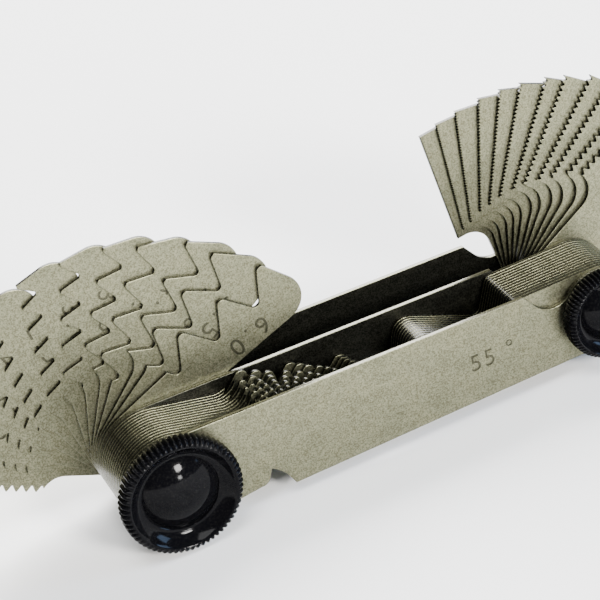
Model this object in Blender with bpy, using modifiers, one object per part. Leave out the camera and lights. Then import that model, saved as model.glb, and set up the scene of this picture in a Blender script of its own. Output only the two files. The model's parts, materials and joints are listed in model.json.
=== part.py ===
"""Screw thread pitch gauge: two fans of toothed blades in a tapered steel case.

Frame: the origin is on the coarse pivot's axis, in the middle of its rear head's
outer face.  +X runs along the case to the fine pivot, +Y from front to back, +Z up.
Sizes below are in millimetres; the model is built in metres.
"""
from math import acos, atan2, cos, floor, hypot, pi, radians, sin

import bpy

MM = 0.001

# Case
PIVOT_SPACING = 56.3
PLATE_THICKNESS = 0.6
COARSE_EYE_RADIUS = 6.3        # half the case's height at the coarse pivot
FINE_EYE_RADIUS = 5.25         # half the case's height at the fine pivot

# Blades
BLADE_THICKNESS = 0.5
LAYER = 0.57                   # one blade and the oil film beside it
INCH_LAYERS = 14
METRIC_LAYERS = 12
CREST_HEIGHT = 9.3             # usual distance of the crest line from the pivot axis
COARSE_HOOK_X = 9.8            # where the toothed edge starts
FINE_HOOK_X = 8.6
NECK_RADIUS = 2.75
NECK_END_X = 7.8
COARSE_END_X = 26.1            # the blade's length from its pivot
FINE_END_X = 23.9
COARSE_NOSE_RADIUS = 3.1
FINE_NOSE_RADIUS = 2.0
FINE_BACK = 3.0                # the back edge's height above the pivot
COARSE_BACK = 2.9
NECK_STEP = 0.35               # the neck's height above the hub
BACK_STEP_X = 13.3             # where the back edge steps down to the hub
BACK_STEP_RADIUS = 1.0
HUB_FILLET = (10.9, -1.0)      # centre and radius of the step's lower round
HUB_FILLET_RADIUS = 1.1
METRIC_TEETH = (0.65, 0.125)   # depth and flats of the teeth, as shares of the pitch
INCH_TEETH = (0.64, 0.167)
HUB_HOLE_RADIUS = 1.65
FINEST_CUT_PITCH = 1.2         # finer blades have a plain edge on the crest line
CLOSED_ANGLE = -16.5           # a closed blade's toothed edge against the case
CLOSED_STEP = 0.12             # how much further out each coarse inch blade rests

# Thumb notches: centre from the pivot, radius, and how far along the case they end
COARSE_NOTCH = ((8.6, 7.5), 5.5, 14.0)
FINE_NOTCH = ((6.03, 5.64), 3.1, 9.8)

# Pivots and thumb nuts
STUD_RADIUS = 1.55
STUD_FRONT = -1.3
REAR_HEAD_THICKNESS = 1.0
REAR_HEAD_GAP = 0.05
NUT_HOLE_RADIUS = 1.65
NUT_RIM_FRONT = -2.9
COARSE_NUT_RADIUS = 7.45
FINE_NUT_RADIUS = 5.75
NUT_BORE_DEPTH = 1.5
# A thumb nut's face from its axis outwards: share of its radius, depth behind its rim
NUT_FACE = [(0.0, 0.25), (0.13, 0.18), (0.38, 0.67), (0.62, 1.72), (0.64, 1.44), (0.75, 0.9),
            (0.86, 0.08), (0.89, 0.0), (1.0, 0.5)]
ROUND_STEPS = 12               # sides of every pivot hole and stud

# Metric blades stand open, front to back: pitch in mm, angle of the toothed edge above
# the case in degrees, and from the pivot the first tooth gap, the crest line and the
# back edge
COARSE_METRIC = [(6.0, 21.7, 8.7, 9.45, 1.3), (5.5, 35.8, 9.6, 9.05, 0.5),
                 (5.0, 43.1, 6.6, 9.35, 1.5), (4.5, 56.5, 8.0, 8.95, 0.8),
                 (4.0, 64.8, 10.3, 9.3, 1.8), (3.5, 76.5, 8.7, 9.2, 1.95),
                 (3.0, 88.5, 8.2, 9.25, 2.1), (2.5, 101.4, 8.3, 9.5, 2.2),
                 (2.0, 113.0, 9.75, 9.0, 2.35), (1.75, 125.8, 10.2, 9.0, 2.4),
                 (1.5, 140.7, 9.6, 8.8, 2.5), (1.25, 153.7, 9.9, 8.8, 2.55)]
FINE_METRIC = [(1.0, 29.0), (0.9, 35.2), (0.8, 42.6), (0.75, 48.8), (0.7, 56.0), (0.6, 61.2),
               (0.5, 68.3), (0.45, 74.0), (0.4, 80.0), (0.35, 87.0), (0.3, 93.0), (0.25, 98.3)]

# Inch blades (55 degree thread form) are closed, front to back, in threads per inch
COARSE_INCH = [18, 16, 14, 13, 12, 11, 10, 9, 8, 7, 6, 5, 4.5, 4]
FINE_INCH = [62, 60, 48, 40, 36, 32, 30, 28, 26, 25, 24, 22, 20, 19]

# The fine inch blades have a lower toothed edge than the metric ones
FINE_INCH_HOOK_X = 9.8
FINE_INCH_CREST_HEIGHT = 8.3

STEEL = (0.40, 0.39, 0.31)
DARK_STEEL = (0.30, 0.30, 0.26)
BLACK = (0.012, 0.012, 0.014)

# Distances behind the front plate's outer face
INCH_FRONT = PLATE_THICKNESS
MIDDLE_FRONT = INCH_FRONT + INCH_LAYERS * LAYER
METRIC_FRONT = MIDDLE_FRONT + PLATE_THICKNESS
BACK_FRONT = METRIC_FRONT + METRIC_LAYERS * LAYER
BACK_FACE = BACK_FRONT + PLATE_THICKNESS
CASE_FRONT_Y = -(BACK_FACE + REAR_HEAD_GAP + REAR_HEAD_THICKNESS)


def clear_scene():
    for old in list(bpy.data.objects):
        bpy.data.objects.remove(old, do_unlink=True)


def make_collection(name):
    collection = bpy.data.collections.new(name)
    bpy.context.scene.collection.children.link(collection)
    return collection


def make_material(name, colour, roughness, metallic):
    material = bpy.data.materials.new(name)
    material.use_nodes = True
    shader = material.node_tree.nodes["Principled BSDF"]
    shader.inputs["Base Color"].default_value = (*colour, 1.0)
    shader.inputs["Roughness"].default_value = roughness
    shader.inputs["Metallic"].default_value = metallic
    material.diffuse_color = (*colour, 1.0)
    return material


def arc(centre, radius, start, end, steps):
    """Points on an arc, both ends included, angles in degrees."""
    points = []
    for i in range(steps + 1):
        angle = radians(start + (end - start) * i / steps)
        points.append((centre[0] + radius * cos(angle), centre[1] + radius * sin(angle)))
    return points


def ring(radius, steps=ROUND_STEPS, centre=(0.0, 0.0)):
    return arc(centre, radius, 0, 360 - 360 / steps, steps - 1)


def tangent_angle(point, radius):
    """Angle, in degrees, at which the line from point touches a circle about the origin
    on its clockwise side."""
    return (atan2(point[1], point[0]) - acos(radius / hypot(*point))) * 180 / pi


def flat_piece(name, outline, holes, thickness, collection, material):
    """A plate cut to an outline, its own X and Y in the outline's plane."""
    curve = bpy.data.curves.new(name, "CURVE")
    curve.dimensions = "2D"
    curve.fill_mode = "BOTH"
    curve.extrude = thickness * MM / 2
    for points in [outline, *holes]:
        spline = curve.splines.new("POLY")
        spline.points.add(len(points) - 1)
        for target, (x, y) in zip(spline.points, points):
            target.co = (x * MM, y * MM, 0.0, 1.0)
        spline.use_cyclic_u = True
    curve.materials.append(material)
    piece = bpy.data.objects.new(name, curve)
    collection.objects.link(piece)
    return piece


def stand_up(piece, x, y, angle=0.0):
    """Turn a flat piece to face -Y, its X axis at an angle above +X, with its middle
    y behind the front plate's outer face."""
    piece.rotation_euler = (radians(90), radians(-angle), 0.0)
    piece.location = (x * MM, (CASE_FRONT_Y + y) * MM, 0.0)


# ---------------------------------------------------------------- blades

def tooth_corners(pitch, inch, first_root, last_crest, crest_height, neck_height):
    """Corners of the toothed edge, as (x, height), to the last crest.  A first gap that
    falls in the neck leaves only its far flank, down to the neck."""
    depth, flat = [share * pitch for share in (INCH_TEETH if inch else METRIC_TEETH)]
    low = crest_height - depth
    run = pitch / 2 - flat
    if first_root < NECK_END_X:
        start = max(low, neck_height)
        corners = [(first_root + flat / 2 + run * (start - low) / depth, start)]
    else:
        corners = [(first_root - flat / 2 - run, crest_height), (first_root - flat / 2, low)]
        corners.append((first_root + flat / 2, low))
    crest = first_root + pitch / 2
    while crest < last_crest - 0.01:
        corners += [(crest - flat / 2, crest_height), (crest + flat / 2, crest_height)]
        root = crest + pitch / 2
        corners += [(root - flat / 2, low), (root + flat / 2, low)]
        crest += pitch
    corners += [(crest - flat / 2, crest_height), (crest + flat / 2, crest_height)]
    return corners


def height_at(corners, x):
    """Height of a line of corners at x, and far above it outside its span."""
    for (x0, z0), (x1, z1) in zip(corners, corners[1:]):
        if x0 <= x <= x1 and x1 > x0:
            return z0 + (z1 - z0) * (x - x0) / (x1 - x0)
    return 1000.0


def lower_of(first, second):
    """The lower of two lines of corners, with a corner wherever they cross."""
    marks = sorted({x for x, _ in first} | {x for x, _ in second})
    edge = []
    for left, right in zip(marks, marks[1:]):
        middle = (left + right) / 2
        low, high = first, second
        if height_at(second, middle) < height_at(first, middle):
            low, high = second, first
        edge.append((left, min(height_at(first, left), height_at(second, left))))
        gap_left = height_at(high, left) - height_at(low, left)
        gap_right = height_at(high, right) - height_at(low, right)
        if gap_left * gap_right < 0 and abs(gap_left) + abs(gap_right) < 100:
            cross = left + (right - left) * gap_left / (gap_left - gap_right)
            edge.append((cross, height_at(low, cross)))
    edge.append((marks[-1], min(height_at(first, marks[-1]), height_at(second, marks[-1]))))
    return edge


def without_flats(points):
    """Drop points that repeat or lie on a straight run."""
    kept = []
    count = len(points)
    for i, point in enumerate(points):
        before = kept[-1] if kept else points[-1]
        after = points[(i + 1) % count]
        ax, ay = point[0] - before[0], point[1] - before[1]
        bx, by = after[0] - point[0], after[1] - point[1]
        if hypot(ax, ay) > 0.01 and abs(ax * by - ay * bx) > 1e-5:
            kept.append(point)
    return kept


def blade_outline(pitch, inch, fine_end, first_root=None, crest_height=CREST_HEIGHT, back=None):
    """A blade about its pivot, its toothed edge parallel to +X and facing +Y.
    The coarse end's blades have a round nose, the fine end's are cut off square."""
    if fine_end:
        hub_radius = FINE_EYE_RADIUS
        hook_x = FINE_HOOK_X + 2.0 * (min(pitch, 1.0) - 0.25)
        back = FINE_BACK
        if inch:
            hook_x = FINE_INCH_HOOK_X
            crest_height = FINE_INCH_CREST_HEIGHT
        nose = arc((FINE_END_X - FINE_NOSE_RADIUS, back + 1.1), FINE_NOSE_RADIUS, 0, -90, 4)
        crest_limit = FINE_END_X - 0.1 * pitch
    else:
        hub_radius = COARSE_EYE_RADIUS
        hook_x = COARSE_HOOK_X
        if back is None:
            back = COARSE_BACK - 0.27 * pitch
        centre = (COARSE_END_X - COARSE_NOSE_RADIUS, back + COARSE_NOSE_RADIUS)
        nose = arc(centre, COARSE_NOSE_RADIUS, 20, -90, 6)
        crest_limit = COARSE_END_X - 0.4 * pitch + 0.1

    neck_height = hub_radius + NECK_STEP
    if pitch < FINEST_CUT_PITCH:
        teeth = [(0.0, crest_height), (crest_limit, crest_height)]
    else:
        last_crest = crest_limit
        if first_root is None:
            gaps = floor((crest_limit - hook_x) / pitch + 0.5)
            first_root = crest_limit - (gaps + 0.5) * pitch
        else:
            gaps = floor((COARSE_END_X - first_root) / pitch - 0.5)
            last_crest = first_root + (gaps + 0.5) * pitch
        teeth = tooth_corners(pitch, inch, first_root, last_crest, crest_height, neck_height)

    neck = [(0.0, hub_radius)]
    neck += arc((hook_x - NECK_RADIUS, neck_height + NECK_RADIUS), NECK_RADIUS, -90, -4, 4)
    neck.append((hook_x + 0.02, 2 * CREST_HEIGHT))
    beyond = [(hook_x + 0.021, 500.0), (40.0, 500.0)]
    upper = [p for p in lower_of(teeth, neck + beyond) if p[1] < 100.0]

    step = arc((BACK_STEP_X, back - BACK_STEP_RADIUS), BACK_STEP_RADIUS, 90, 180, 3)
    step += arc(HUB_FILLET, HUB_FILLET_RADIUS, 0, -80, 3)
    hub = arc((0.0, 0.0), hub_radius, tangent_angle(step[-1], hub_radius), -270, 9)
    return without_flats(upper + nose + step + hub)


def blade_name(size, inch):
    digits = f"{size:g}".replace(".", "_")
    return f"inch_blade_{digits}_tpi" if inch else f"metric_blade_{digits}_mm"


def make_blade(size, inch, fine_end, y, angle, collection, material, *cut):
    pitch = 25.4 / size if inch else size
    outline = blade_outline(pitch, inch, fine_end, *cut)
    blade = flat_piece(blade_name(size, inch), outline, [ring(HUB_HOLE_RADIUS)],
                       BLADE_THICKNESS, collection, material)
    stand_up(blade, PIVOT_SPACING if fine_end else 0.0, y, angle)


def layer_middle(stack_front, index):
    return stack_front + (index + 0.5) * LAYER


def make_blades(collection, material):
    for i, (pitch, angle, *cut) in enumerate(COARSE_METRIC):
        make_blade(pitch, False, False, layer_middle(METRIC_FRONT, i), angle, collection, material, *cut)
    for i, (pitch, angle) in enumerate(FINE_METRIC):
        make_blade(pitch, False, True, layer_middle(METRIC_FRONT, i), angle, collection, material)
    for i, threads in enumerate(COARSE_INCH):
        y = layer_middle(INCH_FRONT, i)
        make_blade(threads, True, False, y, CLOSED_ANGLE + i * CLOSED_STEP, collection, material)
    for i, threads in enumerate(FINE_INCH):
        y = layer_middle(INCH_FRONT, i)
        make_blade(threads, True, True, y, CLOSED_ANGLE + 180, collection, material)


# ---------------------------------------------------------------- case

def half_case(eye_radius, notch, taper):
    """From the eye's far side, round the eye and along its thumb notch to the notch's corner.
    X runs from the pivot into the case, whose edge drops by taper for each unit of X, and
    the notch is on the +Y side."""
    scoop_centre, scoop_radius, corner_x = notch
    corner = (corner_x, eye_radius - corner_x * taper)
    to_corner = (corner[0] - scoop_centre[0], corner[1] - scoop_centre[1])
    distance = max(hypot(*to_corner), scoop_radius * 1.0001)
    slope_start = (atan2(to_corner[1], to_corner[0]) - acos(scoop_radius / distance)) * 180 / pi
    # where the scoop's circle meets the eye's circle
    spacing = hypot(*scoop_centre)
    swing = acos((spacing**2 + scoop_radius**2 - eye_radius**2) / (2 * spacing * scoop_radius))
    scoop_start = (atan2(-scoop_centre[1], -scoop_centre[0]) + swing) * 180 / pi
    meet_x = scoop_centre[0] + scoop_radius * cos(radians(scoop_start))
    meet_y = scoop_centre[1] + scoop_radius * sin(radians(scoop_start))
    eye_end = atan2(meet_y, meet_x) * 180 / pi
    points = arc((0.0, 0.0), eye_radius, 270, eye_end, 16)
    points += arc(scoop_centre, scoop_radius, scoop_start, slope_start, 8)[1:]
    points.append(corner)
    return points


def case_outline():
    """The plates' outline, counterclockwise seen from the front, from the coarse pivot."""
    taper = (COARSE_EYE_RADIUS - FINE_EYE_RADIUS) / PIVOT_SPACING
    coarse = half_case(COARSE_EYE_RADIUS, COARSE_NOTCH, taper)
    fine = half_case(FINE_EYE_RADIUS, FINE_NOTCH, -taper)
    # the coarse end's notch is below, the fine end's above
    outline = [(x, -y) for x, y in coarse]
    outline += [(PIVOT_SPACING - x, y) for x, y in fine]
    return without_flats(outline)


def make_plates(collection, material):
    outline = case_outline()
    holes = [ring(HUB_HOLE_RADIUS), ring(HUB_HOLE_RADIUS, centre=(PIVOT_SPACING, 0.0))]
    fronts = {"front_plate": 0.0, "middle_plate": MIDDLE_FRONT, "back_plate": BACK_FRONT}
    for name, front in fronts.items():
        plate = flat_piece(name, outline, holes, PLATE_THICKNESS, collection, material)
        stand_up(plate, 0.0, front + PLATE_THICKNESS / 2)


# ---------------------------------------------------------------- pivots and thumb nuts

def turned_piece(name, profile, steps, collection, material):
    """A solid of revolution about its own Z, from a profile of (radius, height)
    that runs from its top to its bottom down its outer side."""
    mesh = bpy.data.meshes.new(name)
    vertices = [(radius * MM, 0.0, height * MM) for radius, height in profile]
    mesh.from_pydata(vertices, [(i, i + 1) for i in range(len(vertices) - 1)], [])
    mesh.materials.append(material)
    piece = bpy.data.objects.new(name, mesh)
    collection.objects.link(piece)
    screw = piece.modifiers.new("Turn", "SCREW")
    screw.steps = steps
    screw.render_steps = steps
    screw.use_merge_vertices = True
    screw.merge_threshold = 0.00001
    screw.use_smooth_shade = True
    return piece


def face_front(piece, x):
    """Point a turned piece's own +Z at the front, its origin level with the front plate's face."""
    piece.rotation_euler = (radians(90), 0.0, 0.0)
    piece.location = (x * MM, CASE_FRONT_Y * MM, 0.0)


def make_studs(collection, material):
    ends = {"coarse_pivot_stud": (0.0, 4.2), "fine_pivot_stud": (PIVOT_SPACING, 3.5)}
    for name, (x, head_radius) in ends.items():
        rear = -(BACK_FACE + REAR_HEAD_GAP)
        tail = rear - REAR_HEAD_THICKNESS
        profile = [(0.0, -STUD_FRONT), (STUD_RADIUS - 0.3, -STUD_FRONT), (STUD_RADIUS, -STUD_FRONT - 0.3)]
        profile += [(STUD_RADIUS, rear), (head_radius, rear), (head_radius, tail + 0.35)]
        profile += [(head_radius - 0.5, tail), (0.0, tail)]
        stud = turned_piece(name, profile, 2 * ROUND_STEPS, collection, material)
        face_front(stud, x)


def make_thumb_nuts(collection, material):
    ends = {"coarse_thumb_nut": (0.0, COARSE_NUT_RADIUS), "fine_thumb_nut": (PIVOT_SPACING, FINE_NUT_RADIUS)}
    rim = -NUT_RIM_FRONT
    for name, (x, radius) in ends.items():
        profile = [(share * radius, rim - depth) for share, depth in NUT_FACE]
        profile += [(radius, 0.4), (radius - 0.3, 0.1), (NUT_HOLE_RADIUS, 0.1)]
        profile += [(NUT_HOLE_RADIUS, NUT_BORE_DEPTH), (0.0, NUT_BORE_DEPTH)]
        nut = turned_piece(name, profile, 2 * ROUND_STEPS, collection, material)
        face_front(nut, x)


def main():
    clear_scene()
    collection = make_collection("thread_pitch_gauge")
    steel = make_material("steel", STEEL, 0.38, 0.85)
    stud_steel = make_material("stud_steel", DARK_STEEL, 0.35, 0.9)
    black = make_material("black_gloss", BLACK, 0.12, 0.0)
    make_plates(collection, steel)
    make_blades(collection, steel)
    make_studs(collection, stud_steel)
    make_thumb_nuts(collection, black)


main()
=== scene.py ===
"""Looks of the screw thread pitch gauge: finely toothed and stamped steel blades, the
case's plates, turned rear heads and glossy black knurled thumb nuts.

Sizes below are in millimetres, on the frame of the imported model: the coarse pivot at
x = 0, +X along the case, +Y from front to back, +Z up.
"""
from math import acos, atan2, cos, floor, hypot, pi, radians, sin, sqrt
import json

import bmesh
import bpy
from mathutils import Matrix, Vector


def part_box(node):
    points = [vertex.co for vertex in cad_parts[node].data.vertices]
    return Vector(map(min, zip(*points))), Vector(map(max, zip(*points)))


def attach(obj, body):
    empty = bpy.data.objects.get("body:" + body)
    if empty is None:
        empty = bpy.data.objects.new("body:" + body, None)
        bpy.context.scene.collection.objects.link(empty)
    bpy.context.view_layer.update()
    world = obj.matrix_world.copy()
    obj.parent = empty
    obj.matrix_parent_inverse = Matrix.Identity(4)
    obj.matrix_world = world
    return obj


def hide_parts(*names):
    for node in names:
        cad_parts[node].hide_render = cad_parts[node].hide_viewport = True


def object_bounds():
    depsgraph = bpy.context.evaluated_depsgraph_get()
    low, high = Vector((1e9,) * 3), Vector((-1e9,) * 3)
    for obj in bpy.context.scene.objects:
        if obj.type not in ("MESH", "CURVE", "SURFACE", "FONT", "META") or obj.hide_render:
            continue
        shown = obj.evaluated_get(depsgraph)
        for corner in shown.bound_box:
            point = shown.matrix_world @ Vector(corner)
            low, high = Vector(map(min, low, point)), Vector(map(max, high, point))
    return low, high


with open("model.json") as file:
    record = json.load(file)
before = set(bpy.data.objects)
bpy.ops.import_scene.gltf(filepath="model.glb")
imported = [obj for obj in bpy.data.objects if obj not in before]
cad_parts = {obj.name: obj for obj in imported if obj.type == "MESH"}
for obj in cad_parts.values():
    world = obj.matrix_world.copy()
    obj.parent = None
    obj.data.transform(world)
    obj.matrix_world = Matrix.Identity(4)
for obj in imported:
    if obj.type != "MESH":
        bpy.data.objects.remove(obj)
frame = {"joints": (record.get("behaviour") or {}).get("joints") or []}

CAD_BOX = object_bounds()
MM = 0.001

# The case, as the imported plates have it
FRONT_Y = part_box("front_plate")[0][1] / MM
JOINTS = {joint["child"]: joint for joint in frame["joints"]}
COARSE_X = JOINTS["coarse_thumb_nut"]["pos_m"][0] / MM
FINE_X = JOINTS["fine_thumb_nut"]["pos_m"][0] / MM
COARSE_EYE_RADIUS = 6.3
FINE_EYE_RADIUS = 5.25
HOLE_RADIUS = 1.65
PLATES = ("front_plate", "middle_plate", "back_plate")

# Blades
CREST_HEIGHT = 9.3
COARSE_HOOK_X = 9.8
FINE_HOOK_X = 8.6
NECK_RADIUS = 2.75
NECK_END_X = 7.8
COARSE_END_X = 26.1
FINE_END_X = 23.9
NOSE_RADIUS = 3.1
FINE_INCH_HOOK_X = 9.8
FINE_INCH_CREST_HEIGHT = 8.3
CLOSED_ANGLE = -16.5
CLOSED_STEP = 0.12
INCH_COARSE = (18, 16, 14, 13, 12, 11, 10, 9, 8, 7, 6, 5, 4.5, 4)
INCH_FINE = (62, 60, 48, 40, 36, 32, 30, 28, 26, 25, 24, 22, 20, 19)
METRIC_FINE = (1.0, 0.9, 0.8, 0.75, 0.7, 0.6, 0.5, 0.45, 0.4, 0.35, 0.3, 0.25)
# pitch: distance from the pivot of the first tooth gap, the crest line and the back edge
METRIC_COARSE = {6.0: (8.7, 9.45, 1.3), 5.5: (9.6, 9.05, 0.5), 5.0: (6.6, 9.35, 1.5),
                 4.5: (8.0, 8.95, 0.8), 4.0: (10.3, 9.3, 1.8), 3.5: (8.7, 9.2, 1.95),
                 3.0: (8.2, 9.25, 2.1), 2.5: (8.3, 9.5, 2.2), 2.0: (9.75, 9.0, 2.35),
                 1.75: (10.2, 9.0, 2.4), 1.5: (9.6, 8.8, 2.5), 1.25: (9.9, 8.8, 2.55)}
EYE_HOLE_SIDES = 32
METRIC_TEETH = (0.65, 0.125, 0.055)    # depth, flats and rounding, as shares of the pitch
INCH_TEETH = (0.64, 0.167, 0.137)
COARSE_BACK = 2.9              # a coarse blade's back edge: height, and drop per mm of pitch
COARSE_BACK_DROP = 0.27
FINE_BACK = 3.0
FINE_NOSE_RADIUS = 2.0
FINE_NOSE_HEIGHT = 4.1         # of its centre
NECK_STEP = 0.35               # the neck's height above the hub
BACK_STEP_X = 13.3             # where the back edge steps down to the hub
BACK_STEP_RADIUS = 1.0
HUB_FILLET = (10.9, -1.0)
HUB_FILLET_RADIUS = 1.1
FAR_ABOVE = 1000.0             # a height above any blade

# Thumb notches: centre from the pivot, radius, and how far along the case they end
COARSE_NOTCH = ((8.6, 7.5), 5.5, 14.0)
FINE_NOTCH = ((6.03, 5.64), 3.1, 9.8)

# Edges: how far they are eased, and the angle up to which shading runs over them
PLATE_EASE = 0.05
BLADE_EASE_LIMITS = (0.012, 0.06)
BLADE_EASE_SHARE = 0.05        # of the pitch
SHARP_ANGLE = radians(32)

# Stamped numbers
STAMP_DEPTH = 0.07
BLADE_STAMP_X = 17.8
BLADE_STAMP_SPACING = 1.43
FINE_STAMP_HEIGHT = 5.3
COARSE_STAMP_HEIGHT = 4.75     # falling with the pitch like the back edge, down to the least
COARSE_STAMP_LEAST = 3.15
BLADE_STAMP_SIZE = 3.4
LONG_STAMP_SIZE = 2.6          # for five characters or more
PLATE_STAMP = ("55 °", 3.2, 1.15, 41.2, -0.45)    # text, size, spacing, x, y

# Thumb nuts
RIBS = 66
NUT_RIM_Y = 2.9                # how far the rim stands in front of the front plate
COARSE_NUT_RADIUS = 7.45
FINE_NUT_RADIUS = 5.75


# ---------------------------------------------------------------- materials

def new_material(name):
    material = bpy.data.materials.new(name)
    material.use_nodes = True
    return material, material.node_tree.nodes, material.node_tree.links


def noise(nodes, links, coordinates, scale, stretch=(1.0, 1.0, 1.0), detail=4.0):
    """Noise on the given coordinates, in features about 1/scale of their unit across."""
    mapping = nodes.new("ShaderNodeMapping")
    mapping.inputs["Scale"].default_value = stretch
    texture = nodes.new("ShaderNodeTexNoise")
    texture.inputs["Scale"].default_value = scale
    texture.inputs["Detail"].default_value = detail
    links.new(coordinates, mapping.inputs["Vector"])
    links.new(mapping.outputs["Vector"], texture.inputs["Vector"])
    return texture.outputs["Fac"]


def ramp(nodes, links, value, stops):
    node = nodes.new("ShaderNodeValToRGB")
    while len(node.color_ramp.elements) < len(stops):
        node.color_ramp.elements.new(0.5)
    for element, (place, colour) in zip(node.color_ramp.elements, stops):
        element.position = place
        element.color = (*colour, 1.0)
    links.new(value, node.inputs["Fac"])
    return node.outputs["Color"]


def mix_colours(nodes, links, kind, factor, first, second):
    node = nodes.new("ShaderNodeMix")
    node.data_type = "RGBA"
    node.blend_type = kind
    node.inputs["Factor"].default_value = factor
    links.new(first, node.inputs[6])
    links.new(second, node.inputs[7])
    return node.outputs[2]


def blend_values(nodes, links, first, second, share):
    node = nodes.new("ShaderNodeMix")
    node.inputs["Factor"].default_value = share
    links.new(first, node.inputs[2])
    links.new(second, node.inputs[3])
    return node.outputs[0]


def scaled(nodes, links, value, low, high):
    node = nodes.new("ShaderNodeMapRange")
    node.inputs["To Min"].default_value = low
    node.inputs["To Max"].default_value = high
    node.inputs["From Min"].default_value = 0.3
    node.inputs["From Max"].default_value = 0.7
    links.new(value, node.inputs["Value"])
    return node.outputs["Result"]


def steel(name, dark, light, roughness, grain):
    """Ground and lightly tarnished steel: speckle, faint stains and a directional grain
    along the piece's own X axis."""
    material, nodes, links = new_material(name)
    shader = nodes["Principled BSDF"]
    own_place = nodes.new("ShaderNodeAttribute")
    own_place.attribute_name = "own_place"
    place = own_place.outputs["Vector"]
    speckle = noise(nodes, links, place, 5.5, detail=6.0)
    stains = noise(nodes, links, place, 0.28, detail=5.0)
    lines = noise(nodes, links, place, 1.6, stretch=grain, detail=3.0)
    middle = tuple((a + b) / 2 for a, b in zip(dark, light))
    tone = ramp(nodes, links, blend_values(nodes, links, speckle, lines, 0.12),
                [(0.36, dark), (0.5, middle), (0.64, light)])
    tint = ramp(nodes, links, stains, [(0.3, (0.72, 0.74, 0.70)), (0.5, (0.95, 0.95, 0.92)),
                                       (0.72, (1.0, 0.97, 0.88))])
    colour = mix_colours(nodes, links, "MULTIPLY", 0.45, tone, tint)
    links.new(colour, shader.inputs["Base Color"])
    shader.inputs["Metallic"].default_value = 1.0
    worn = blend_values(nodes, links, speckle, lines, 0.3)
    links.new(scaled(nodes, links, worn, roughness - 0.07, roughness + 0.10), shader.inputs["Roughness"])
    bump = nodes.new("ShaderNodeBump")
    bump.inputs["Strength"].default_value = 0.6
    bump.inputs["Distance"].default_value = 0.00002
    links.new(worn, bump.inputs["Height"])
    links.new(bump.outputs["Normal"], shader.inputs["Normal"])
    return material


def black_gloss(name):
    """Glossy black moulding with fine dust and a faint unevenness."""
    material, nodes, links = new_material(name)
    shader = nodes["Principled BSDF"]
    place = nodes.new("ShaderNodeTexCoord").outputs["Object"]
    dust = noise(nodes, links, place, 5200.0, detail=5.0)
    swell = noise(nodes, links, place, 420.0, detail=2.0)
    colour = ramp(nodes, links, dust, [(0.5, (0.0015, 0.0015, 0.002)), (0.75, (0.006, 0.006, 0.006))])
    links.new(colour, shader.inputs["Base Color"])
    links.new(scaled(nodes, links, dust, 0.05, 0.14), shader.inputs["Roughness"])
    shader.inputs["Specular IOR Level"].default_value = 0.055
    bump = nodes.new("ShaderNodeBump")
    bump.inputs["Strength"].default_value = 0.5
    bump.inputs["Distance"].default_value = 0.00003
    links.new(blend_values(nodes, links, dust, swell, 0.85), bump.inputs["Height"])
    links.new(bump.outputs["Normal"], shader.inputs["Normal"])
    return material


ALONG = (0.12, 2.5, 1.0)       # grain drawn out along a piece's own X axis
FACE_STEEL = steel("face_steel", (0.092, 0.091, 0.056), (0.215, 0.212, 0.142), 0.40, ALONG)
# Painted shade: a near-black copy of the steel on the blades' cut edges, for the dark lines between the
# stacked blades
SHADED_CUT_EDGE_STEEL = steel("painted_shade_cut_edge_steel", (0.010, 0.010, 0.009), (0.036, 0.036, 0.032), 0.26, ALONG)
# Painted shade: a darker copy of the steel on the plates' edges, dimming their lit brightness
SHADED_PLATE_EDGE_STEEL = steel("painted_shade_plate_edge_steel", (0.055, 0.054, 0.043), (0.12, 0.118, 0.096), 0.28, ALONG)
# Painted shade: a dark copy of the steel on the plates' faces inside the case
SHADED_INNER_STEEL = steel("painted_shade_inner_steel", (0.018, 0.018, 0.014), (0.054, 0.054, 0.043), 0.34, ALONG)
# Painted shade: a darker copy of the steel in the stamped recesses
SHADED_STAMP_STEEL = steel("painted_shade_stamped_steel", (0.040, 0.039, 0.026), (0.085, 0.083, 0.056), 0.36, ALONG)
STUD_STEEL = steel("stud_steel", (0.20, 0.195, 0.16), (0.36, 0.35, 0.30), 0.28, (1.0, 1.0, 1.0))
NUT_BLACK = black_gloss("nut_black")
PAPER = new_material("paper")[0]


# ---------------------------------------------------------------- outlines

def arc(centre, radius, start, end, steps):
    """Points on an arc, both ends included, angles in degrees."""
    points = []
    for i in range(steps + 1):
        angle = radians(start + (end - start) * i / steps)
        points.append((centre[0] + radius * cos(angle), centre[1] + radius * sin(angle)))
    return points


def ring(radius, steps, centre=(0.0, 0.0)):
    return arc(centre, radius, 0, 360 - 360 / steps, steps - 1)


def tangent_angle(point, radius):
    """Angle, in degrees, at which the line from point touches a circle about the origin
    on its clockwise side."""
    return (atan2(point[1], point[0]) - acos(radius / hypot(*point))) * 180 / pi


def softened(corners, radius):
    """A line of corners with every corner but the first and last rounded off."""
    points = [corners[0]]
    for before, corner, after in zip(corners, corners[1:], corners[2:]):
        back = hypot(before[0] - corner[0], before[1] - corner[1])
        ahead = hypot(after[0] - corner[0], after[1] - corner[1])
        reach = min(radius, 0.45 * back, 0.45 * ahead)
        if reach < 0.01:
            points.append(corner)
            continue
        start = [c + (b - c) * reach / back for b, c in zip(before, corner)]
        end = [c + (a - c) * reach / ahead for a, c in zip(after, corner)]
        for t in (0.0, 0.25, 0.5, 0.75, 1.0):
            points.append(tuple((1 - t)**2 * p + 2 * t * (1 - t) * c + t**2 * q
                                for p, c, q in zip(start, corner, end)))
    return points + [corners[-1]]


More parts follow.
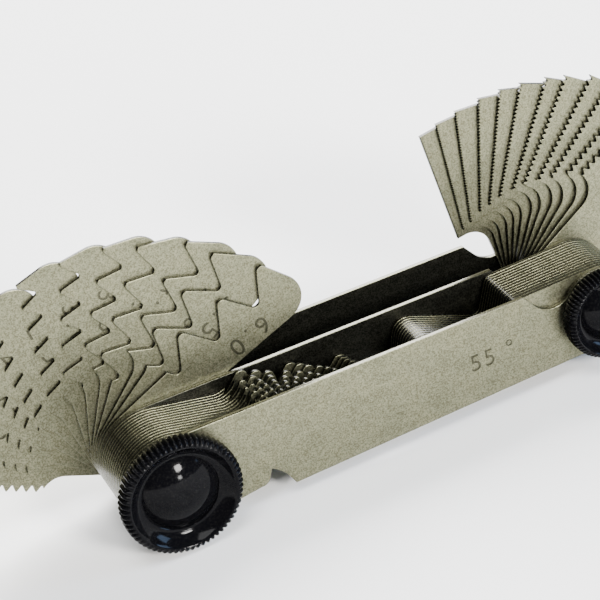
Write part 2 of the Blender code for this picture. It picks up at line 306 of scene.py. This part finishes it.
def tooth_corners(pitch, inch, first_root, last_crest, crest_height, neck_height):
    """Corners of the toothed edge, as (x, height), to the last crest.  A first gap that
    falls in the neck leaves only its far flank, down to the neck."""
    depth, flat, rounding = [share * pitch for share in (INCH_TEETH if inch else METRIC_TEETH)]
    low = crest_height - depth
    run = pitch / 2 - flat
    if first_root < NECK_END_X:
        start = max(low, neck_height)
        corners = [(first_root + flat / 2 + run * (start - low) / depth, start)]
    else:
        corners = [(first_root - flat / 2 - run, crest_height), (first_root - flat / 2, low)]
        corners.append((first_root + flat / 2, low))
    crest = first_root + pitch / 2
    while crest < last_crest - 0.01:
        corners += [(crest - flat / 2, crest_height), (crest + flat / 2, crest_height)]
        root = crest + pitch / 2
        corners += [(root - flat / 2, low), (root + flat / 2, low)]
        crest += pitch
    corners += [(crest - flat / 2, crest_height), (crest + flat / 2, crest_height)]
    return softened(corners, rounding)


def height_at(corners, x):
    """Height of a line of corners at x, and far above it outside its span."""
    for (x0, z0), (x1, z1) in zip(corners, corners[1:]):
        if x0 <= x <= x1 and x1 > x0:
            return z0 + (z1 - z0) * (x - x0) / (x1 - x0)
    return FAR_ABOVE


def lower_of(first, second):
    """The lower of two lines of corners, with a corner wherever they cross."""
    marks = sorted({x for x, _ in first} | {x for x, _ in second})
    edge = []
    for left, right in zip(marks, marks[1:]):
        middle = (left + right) / 2
        low, high = first, second
        if height_at(second, middle) < height_at(first, middle):
            low, high = second, first
        edge.append((left, min(height_at(first, left), height_at(second, left))))
        gap_left = height_at(high, left) - height_at(low, left)
        gap_right = height_at(high, right) - height_at(low, right)
        if gap_left * gap_right < 0 and abs(gap_left) + abs(gap_right) < 100:
            cross = left + (right - left) * gap_left / (gap_left - gap_right)
            edge.append((cross, height_at(low, cross)))
    edge.append((marks[-1], min(height_at(first, marks[-1]), height_at(second, marks[-1]))))
    return edge


def spaced(points, least=0.012):
    """The outline without points that all but repeat the one before."""
    kept = []
    for point in points:
        if not kept or hypot(point[0] - kept[-1][0], point[1] - kept[-1][1]) > least:
            kept.append(point)
    return kept


def blade_outline(pitch, inch, fine_end, first_root=None, crest_height=CREST_HEIGHT, back=None):
    """A blade about its pivot, its toothed edge parallel to +X and facing +Y."""
    if fine_end:
        hub_radius = FINE_EYE_RADIUS
        hook_x = FINE_HOOK_X + 2.0 * (min(pitch, 1.0) - 0.25)
        back = FINE_BACK
        if inch:
            hook_x = FINE_INCH_HOOK_X
            crest_height = FINE_INCH_CREST_HEIGHT
        nose = arc((FINE_END_X - FINE_NOSE_RADIUS, FINE_NOSE_HEIGHT), FINE_NOSE_RADIUS, 0, -90, 12)
        crest_limit = FINE_END_X - 0.1 * pitch
    else:
        hub_radius = COARSE_EYE_RADIUS
        hook_x = COARSE_HOOK_X
        if back is None:
            back = COARSE_BACK - COARSE_BACK_DROP * pitch
        nose = arc((COARSE_END_X - NOSE_RADIUS, back + NOSE_RADIUS), NOSE_RADIUS, 20, -90, 20)
        crest_limit = COARSE_END_X - 0.4 * pitch + 0.1

    neck_height = hub_radius + NECK_STEP
    last_crest = crest_limit
    if first_root is None:
        gaps = floor((crest_limit - hook_x) / pitch + 0.5)
        first_root = crest_limit - (gaps + 0.5) * pitch
    else:
        gaps = floor((COARSE_END_X - first_root) / pitch - 0.5)
        last_crest = first_root + (gaps + 0.5) * pitch
    teeth = tooth_corners(pitch, inch, first_root, last_crest, crest_height, neck_height)

    neck = [(0.0, hub_radius)]
    neck += arc((hook_x - NECK_RADIUS, neck_height + NECK_RADIUS), NECK_RADIUS, -90, -4, 14)
    neck.append((hook_x + 0.02, 2 * CREST_HEIGHT))
    beyond = [(hook_x + 0.021, 500.0), (40.0, 500.0)]
    upper = [p for p in lower_of(teeth, neck + beyond) if p[1] < 100.0]

    step = arc((BACK_STEP_X, back - BACK_STEP_RADIUS), BACK_STEP_RADIUS, 90, 180, 8)
    step += arc(HUB_FILLET, HUB_FILLET_RADIUS, 0, -80, 8)
    hub = arc((0.0, 0.0), hub_radius, tangent_angle(step[-1], hub_radius), -270, 40)
    return spaced(upper + nose + step + hub[:-1])


def half_case(eye_radius, scoop_centre, scoop_radius, corner):
    """From the eye's far side, round the eye and along its thumb notch to the notch's corner."""
    to_corner = (corner[0] - scoop_centre[0], corner[1] - scoop_centre[1])
    distance = max(hypot(*to_corner), scoop_radius * 1.0001)
    slope_start = (atan2(to_corner[1], to_corner[0]) - acos(scoop_radius / distance)) * 180 / pi
    spacing = hypot(*scoop_centre)
    swing = acos((spacing**2 + scoop_radius**2 - eye_radius**2) / (2 * spacing * scoop_radius))
    scoop_start = (atan2(-scoop_centre[1], -scoop_centre[0]) + swing) * 180 / pi
    meet_x = scoop_centre[0] + scoop_radius * cos(radians(scoop_start))
    meet_y = scoop_centre[1] + scoop_radius * sin(radians(scoop_start))
    eye_end = atan2(meet_y, meet_x) * 180 / pi
    points = arc((0.0, 0.0), eye_radius, 270, eye_end, 56)
    points += arc(scoop_centre, scoop_radius, scoop_start, slope_start, 24)[1:]
    points.append(corner)
    return points


def case_outline():
    """The plates' outline, from the coarse pivot."""
    length = FINE_X - COARSE_X
    taper = (COARSE_EYE_RADIUS - FINE_EYE_RADIUS) / length
    centre, radius, end = COARSE_NOTCH
    coarse = half_case(COARSE_EYE_RADIUS, centre, radius, (end, COARSE_EYE_RADIUS - end * taper))
    centre, radius, end = FINE_NOTCH
    fine = half_case(FINE_EYE_RADIUS, centre, radius, (end, FINE_EYE_RADIUS + end * taper))
    return [(x, -y) for x, y in coarse] + [(length - x, y) for x, y in fine]


# ---------------------------------------------------------------- flat pieces

def cleaned(mesh, distance):
    """Weld a mesh, close any pinhole and turn its faces outwards."""
    shape = bmesh.new()
    shape.from_mesh(mesh)
    bmesh.ops.remove_doubles(shape, verts=shape.verts, dist=distance)
    bmesh.ops.holes_fill(shape, edges=[e for e in shape.edges if e.is_boundary], sides=8)
    bmesh.ops.recalc_face_normals(shape, faces=shape.faces)
    shape.to_mesh(mesh)
    shape.free()


def mesh_of(curve):
    """The mesh of a curve, which it replaces."""
    maker = bpy.data.objects.new(curve.name, curve)
    bpy.context.scene.collection.objects.link(maker)
    bpy.context.view_layer.update()
    evaluated = maker.evaluated_get(bpy.context.evaluated_depsgraph_get())
    mesh = bpy.data.meshes.new_from_object(evaluated)
    bpy.data.objects.remove(maker)
    cleaned(mesh, 0.0004)
    return mesh


def filled(outline, holes, thickness, bevel, edge_steel, back_steel):
    """A mesh, in millimetres, of a flat piece lying in X and Y, its edges eased by bevel.
    Its front and eased edges take the first material slot, its cut edge the second, a darker steel that
    paints shade on the edges, and its back the third."""
    curve = bpy.data.curves.new("outline", "CURVE")
    curve.dimensions = "2D"
    curve.fill_mode = "BOTH"
    curve.extrude = thickness / 2 - bevel
    curve.bevel_depth = bevel
    curve.bevel_resolution = 1 if bevel > 0.03 else 0
    curve.offset = -bevel
    for points in [outline, *holes]:
        spline = curve.splines.new("POLY")
        spline.points.add(len(points) - 1)
        for target, (x, y) in zip(spline.points, points):
            target.co = (x, y, 0.0, 1.0)
        spline.use_cyclic_u = True
    mesh = mesh_of(curve)
    mesh.materials.clear()
    for material in (FACE_STEEL, edge_steel, back_steel, SHADED_STAMP_STEEL):
        mesh.materials.append(material)
    for polygon in mesh.polygons:
        if abs(polygon.normal.z) < 0.3:
            polygon.material_index = 1
        elif polygon.normal.z < -0.9:
            polygon.material_index = 2
    return mesh


def stamp_cutter(text, size, spacing, x, y, thickness, turned_over):
    """A cutter for a stamped number, centred on x and y, in the face at +thickness / 2."""
    curve = bpy.data.curves.new("stamp", "FONT")
    curve.body = text
    curve.size = size
    curve.align_x = "CENTER"
    curve.align_y = "CENTER"
    curve.space_character = spacing
    curve.resolution_u = 4
    curve.extrude = STAMP_DEPTH
    mesh = mesh_of(curve)
    mesh.materials.clear()
    for material in (FACE_STEEL, FACE_STEEL, FACE_STEEL, SHADED_STAMP_STEEL):
        mesh.materials.append(material)
    for polygon in mesh.polygons:
        # The cutter's faces carry the painted shade steel into the stamped recesses
        polygon.material_index = 3
    turn = Matrix.Rotation(pi if turned_over else 0.0, 4, "Z")
    mesh.transform(Matrix.Translation((x, y, thickness / 2)) @ turn)
    cutter = bpy.data.objects.new("stamp_cutter", mesh)
    bpy.context.scene.collection.objects.link(cutter)
    return cutter


def stamped(mesh, cutter):
    """The mesh with the cutter's shape sunk into it."""
    blank = bpy.data.objects.new("blank", mesh)
    bpy.context.scene.collection.objects.link(blank)
    cut = blank.modifiers.new("Stamp", "BOOLEAN")
    cut.object = cutter
    cut.operation = "DIFFERENCE"
    cut.solver = "EXACT"
    bpy.context.view_layer.update()
    evaluated = blank.evaluated_get(bpy.context.evaluated_depsgraph_get())
    carved = bpy.data.meshes.new_from_object(evaluated)
    bpy.data.objects.remove(blank)
    bpy.data.objects.remove(cutter)
    cleaned(carved, 0.001)
    return carved


def add_piece(name, mesh, matrix, body, node):
    """Stand a finished mesh, made in millimetres, in the frame.  Its own coordinates stay
    on it for its material's grain."""
    own_place = mesh.attributes.new("own_place", "FLOAT_VECTOR", "POINT")
    coordinates = [value for vertex in mesh.vertices for value in vertex.co]
    own_place.data.foreach_set("vector", coordinates)
    mesh.set_sharp_from_angle(angle=SHARP_ANGLE)
    for polygon in mesh.polygons:
        polygon.use_smooth = abs(polygon.normal.z) < 0.999
    mesh.transform(matrix @ Matrix.Scale(MM, 4))
    piece = bpy.data.objects.new(name, mesh)
    bpy.context.scene.collection.objects.link(piece)
    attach(piece, body)
    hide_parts(node)


def standing(node, x, angle):
    """Where a flat piece stands: facing -Y in its node's own layer, turned by angle."""
    low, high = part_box(node)
    place = Matrix.Translation((x * MM, (low[1] + high[1]) / 2, 0.0))
    return place @ Matrix.Rotation(radians(-angle), 4, "Y") @ Matrix.Rotation(radians(90), 4, "X")


def thickness_of(node):
    low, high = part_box(node)
    return (high[1] - low[1]) / MM


def size_label(size, inch):
    if inch:
        return {4.5: "4 1/2"}.get(size, f"{size:g}")
    return f"{size:.1f}" if round(size, 1) == size else f"{size:.2f}"


def make_blade(node, size, inch, fine_end, angle, *cut):
    pitch = 25.4 / size if inch else size
    thickness = thickness_of(node)
    least, most = BLADE_EASE_LIMITS
    ease = max(least, min(most, BLADE_EASE_SHARE * pitch))
    outline = blade_outline(pitch, inch, fine_end, *cut)
    # The blade's cut edges take the painted shade steel
    mesh = filled(outline, [ring(HOLE_RADIUS, EYE_HOLE_SIDES)], thickness, ease, SHADED_CUT_EDGE_STEEL, FACE_STEEL)
    x = FINE_X if fine_end else COARSE_X
    label = size_label(size, inch)
    letter_size = BLADE_STAMP_SIZE if len(label) < 5 else LONG_STAMP_SIZE
    height = FINE_STAMP_HEIGHT
    if not fine_end:
        height = max(COARSE_STAMP_LEAST, COARSE_STAMP_HEIGHT - COARSE_BACK_DROP * pitch)
    cutter = stamp_cutter(label, letter_size, BLADE_STAMP_SPACING, BLADE_STAMP_X, height, thickness, True)
    mesh = stamped(mesh, cutter)
    add_piece(node + "_cut", mesh, standing(node, x, angle), node, node)


def node_name(size, inch):
    digits = f"{size:g}".replace(".", "_")
    return f"inch_blade_{digits}_tpi" if inch else f"metric_blade_{digits}_mm"


def make_blades():
    for pitch, cut in METRIC_COARSE.items():
        node = node_name(pitch, False)
        angle = CLOSED_ANGLE - JOINTS[node]["range_deg"][0]
        make_blade(node, pitch, False, False, angle, *cut)
    for pitch in METRIC_FINE:
        node = node_name(pitch, False)
        angle = CLOSED_ANGLE + 180 + JOINTS[node]["range_deg"][0]
        make_blade(node, pitch, False, True, angle)
    for i, threads in enumerate(INCH_COARSE):
        make_blade(node_name(threads, True), threads, True, False, CLOSED_ANGLE + i * CLOSED_STEP)
    for threads in INCH_FINE:
        make_blade(node_name(threads, True), threads, True, True, CLOSED_ANGLE + 180)


def make_plates():
    holes = [ring(HOLE_RADIUS, EYE_HOLE_SIDES),
             ring(HOLE_RADIUS, EYE_HOLE_SIDES, centre=(FINE_X - COARSE_X, 0.0))]
    for node in PLATES:
        thickness = thickness_of(node)
        # Faces inside the case take the dark steel as painted shade; only the back plate's outer back
        # keeps the face steel
        back_steel = FACE_STEEL if node == "back_plate" else SHADED_INNER_STEEL
        mesh = filled(case_outline(), holes, thickness, PLATE_EASE, SHADED_PLATE_EDGE_STEEL, back_steel)
        if node == "front_plate":
            mesh = stamped(mesh, stamp_cutter(*PLATE_STAMP, thickness, False))
        else:
            for polygon in mesh.polygons:
                # The middle and back plates' front faces, inside the case, take the painted shade steel as
                # well
                if polygon.normal.z > 0.9:
                    polygon.material_index = 3
            mesh.materials[3] = SHADED_INNER_STEEL
        add_piece(node + "_cut", mesh, standing(node, COARSE_X, 0.0), "case", node)


# ---------------------------------------------------------------- turned pieces

def turned(profile, steps, wave=lambda angle: 0.0):
    """A closed turned mesh about Z from (radius, height, ripple) rows, top to bottom.
    wave gives the knurl's depth at an angle, and ripple how much of it a row takes."""
    shape = bmesh.new()
    rows = []
    for radius, height, ripple in profile:
        row = []
        for i in range(steps):
            angle = 2 * pi * i / steps
            r = radius - ripple * wave(angle)
            row.append(shape.verts.new((r * cos(angle), r * sin(angle), height)))
        rows.append(row)
    for upper, lower in zip(rows, rows[1:]):
        for i in range(steps):
            j = (i + 1) % steps
            shape.faces.new((upper[i], lower[i], lower[j], upper[j]))
    shape.faces.new(rows[0])
    shape.faces.new(list(reversed(rows[-1])))
    bmesh.ops.recalc_face_normals(shape, faces=shape.faces)
    mesh = bpy.data.meshes.new("turned")
    shape.to_mesh(mesh)
    shape.free()
    return mesh


def facing_front(x):
    """A turned piece's place: its own +Z at the front, its origin level with the front plate."""
    return Matrix.Translation((x * MM, FRONT_Y * MM, 0.0)) @ Matrix.Rotation(radians(90), 4, "X")


def make_thumb_nut(node, x, radius):
    """A knurled cap: ribs round the rim ending in beads, a hollow ring inside them and a
    low polished dome in the middle.  Its profile is drawn for the coarse nut."""
    k = radius / COARSE_NUT_RADIUS
    rim = NUT_RIM_Y
    dome_radius = 7.4
    dome_edge = 4.6
    rows = [(0.02, rim - 0.30), (0.5, rim - 0.27), (0.85, rim - 0.17)]
    for i in range(1, 13):
        r = 0.9 + (dome_edge - 0.9) * i / 12
        rows.append((r, rim - 0.12 - (dome_radius - sqrt(dome_radius**2 - r**2))))
    foot = rows[-1][1]
    rows += [(4.66, foot), (4.70, foot + 0.05), (4.70, foot + 0.22), (4.76, foot + 0.28)]
    for i in range(1, 9):
        t = i / 8
        rows.append((4.76 + 1.64 * t, foot + 0.28 + (rim - 0.08 - foot - 0.28) * t**1.7))
    rows += [(6.5, rim - 0.03)]
    profile = [(r * k, z, 0.0) for r, z in rows]
    profile += [(6.62 * k, rim, 0.25), (6.78 * k, rim - 0.02, 0.6), (6.95 * k, rim - 0.1, 0.9),
                (7.2 * k, rim - 0.3, 1.0), (7.38 * k, rim - 0.55, 1.0), (7.45 * k, rim - 0.8, 1.0),
                (7.45 * k, 0.9, 1.0), (7.35 * k, 0.65, 1.0), (7.05 * k, 0.42, 0.6), (6.7 * k, 0.32, 0.0),
                (6.4 * k, 0.12, 0.0), (2.0, 0.12, 0.0)]
    depth = 0.36 * k

    def wave(angle):
        return depth * (1.0 - abs(sin(angle * RIBS / 2)))

    mesh = turned(profile, RIBS * 8, wave)
    mesh.materials.append(NUT_BLACK)
    add_piece(node + "_knurled", mesh, facing_front(x), node, node)


def make_stud(node, x):
    """A turned stud whose low round head shows on the back plate."""
    low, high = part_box(node)
    head = (high[0] - low[0]) / 2 / MM
    tail = FRONT_Y - high[1] / MM
    front = FRONT_Y - low[1] / MM
    seat = tail + 1.0
    rows = [(0.02, front), (1.3, front), (1.5, front - 0.25), (1.5, seat), (head - 0.12, seat),
            (head, seat - 0.15), (head, tail + 0.4), (head - 0.12, tail + 0.18), (head - 0.4, tail + 0.03),
            (head - 0.75, tail), (0.9, tail), (0.75, tail + 0.12), (0.02, tail + 0.12)]
    mesh = turned([(r, z, 0.0) for r, z in rows], 96)
    mesh.materials.append(STUD_STEEL)
    add_piece(node + "_turned", mesh, facing_front(x), "case", node)


# ---------------------------------------------------------------- stage

def make_camera():
    """The photograph's view, from the front, left and above."""
    data = bpy.data.cameras.new("camera")
    data.lens = 144.9
    data.sensor_width = 36.0
    data.shift_x = -0.0184
    data.shift_y = -0.0070
    data.clip_end = 10.0
    camera = bpy.data.objects.new("camera", data)
    bpy.context.scene.collection.objects.link(camera)
    right = Vector((0.8968, -0.3915, -0.2062)).normalized()
    forward = Vector((0.2474, 0.8300, -0.4998))
    forward = (forward - forward.dot(right) * right).normalized()
    up = right.cross(forward)
    eye = Vector((-46.62, FRONT_Y - 227.22, 153.73)) * MM
    turn = Matrix((right, up, -forward)).transposed().to_4x4()
    camera.matrix_world = Matrix.Translation(eye) @ turn
    bpy.context.scene.camera = camera


def make_floor():
    shader = PAPER.node_tree.nodes["Principled BSDF"]
    shader.inputs["Base Color"].default_value = (0.95, 0.95, 0.95, 1.0)
    shader.inputs["Roughness"].default_value = 0.9
    shader.inputs["Specular IOR Level"].default_value = 0.1
    mesh = bpy.data.meshes.new("floor")
    shape = bmesh.new()
    bmesh.ops.create_grid(shape, x_segments=1, y_segments=1, size=3.0)
    shape.to_mesh(mesh)
    shape.free()
    mesh.materials.append(PAPER)
    floor_piece = bpy.data.objects.new("floor", mesh)
    bpy.context.scene.collection.objects.link(floor_piece)
    floor_piece.location.z = CAD_BOX[0][2] - 0.0002


def make_light(name, offset, size, power, colour):
    """A soft square light aimed at the middle of the case."""
    target = Vector(((COARSE_X + FINE_X) / 2 * MM, FRONT_Y * MM / 2, 0.005))
    data = bpy.data.lights.new(name, "AREA")
    data.size = size
    data.energy = power
    data.color = colour
    light = bpy.data.objects.new(name, data)
    bpy.context.scene.collection.objects.link(light)
    light.location = target + Vector(offset)
    light.rotation_euler = (-Vector(offset)).to_track_quat("-Z", "Y").to_euler()


def make_lights():
    make_light("back_softbox", (0.22, 0.70, 0.58), 0.75, 42.0, (1.0, 0.99, 0.97))
    make_light("overhead_softbox", (-0.14, -0.30, 0.85), 0.45, 8.0, (1.0, 1.0, 1.0))
    make_light("front_softbox", (0.20, -0.72, 0.32), 0.16, 16.0, (1.0, 0.98, 0.94))
    make_light("low_reflector", (0.16, -0.80, 0.10), 0.09, 3.0, (1.0, 1.0, 0.98))
    make_light("window", (0.80, -0.40, 0.30), 0.30, 6.0, (0.40, 0.62, 1.0))
    world = bpy.data.worlds.new("room")
    bpy.context.scene.world = world
    world.use_nodes = True
    background = world.node_tree.nodes["Background"]
    background.inputs["Color"].default_value = (0.85, 0.92, 1.0, 1.0)
    background.inputs["Strength"].default_value = 0.11


make_camera()
make_plates()
make_blades()
make_thumb_nut("coarse_thumb_nut", COARSE_X, COARSE_NUT_RADIUS)
make_thumb_nut("fine_thumb_nut", FINE_X, FINE_NUT_RADIUS)
make_stud("coarse_pivot_stud", COARSE_X)
make_stud("fine_pivot_stud", FINE_X)
make_floor()
make_lights()
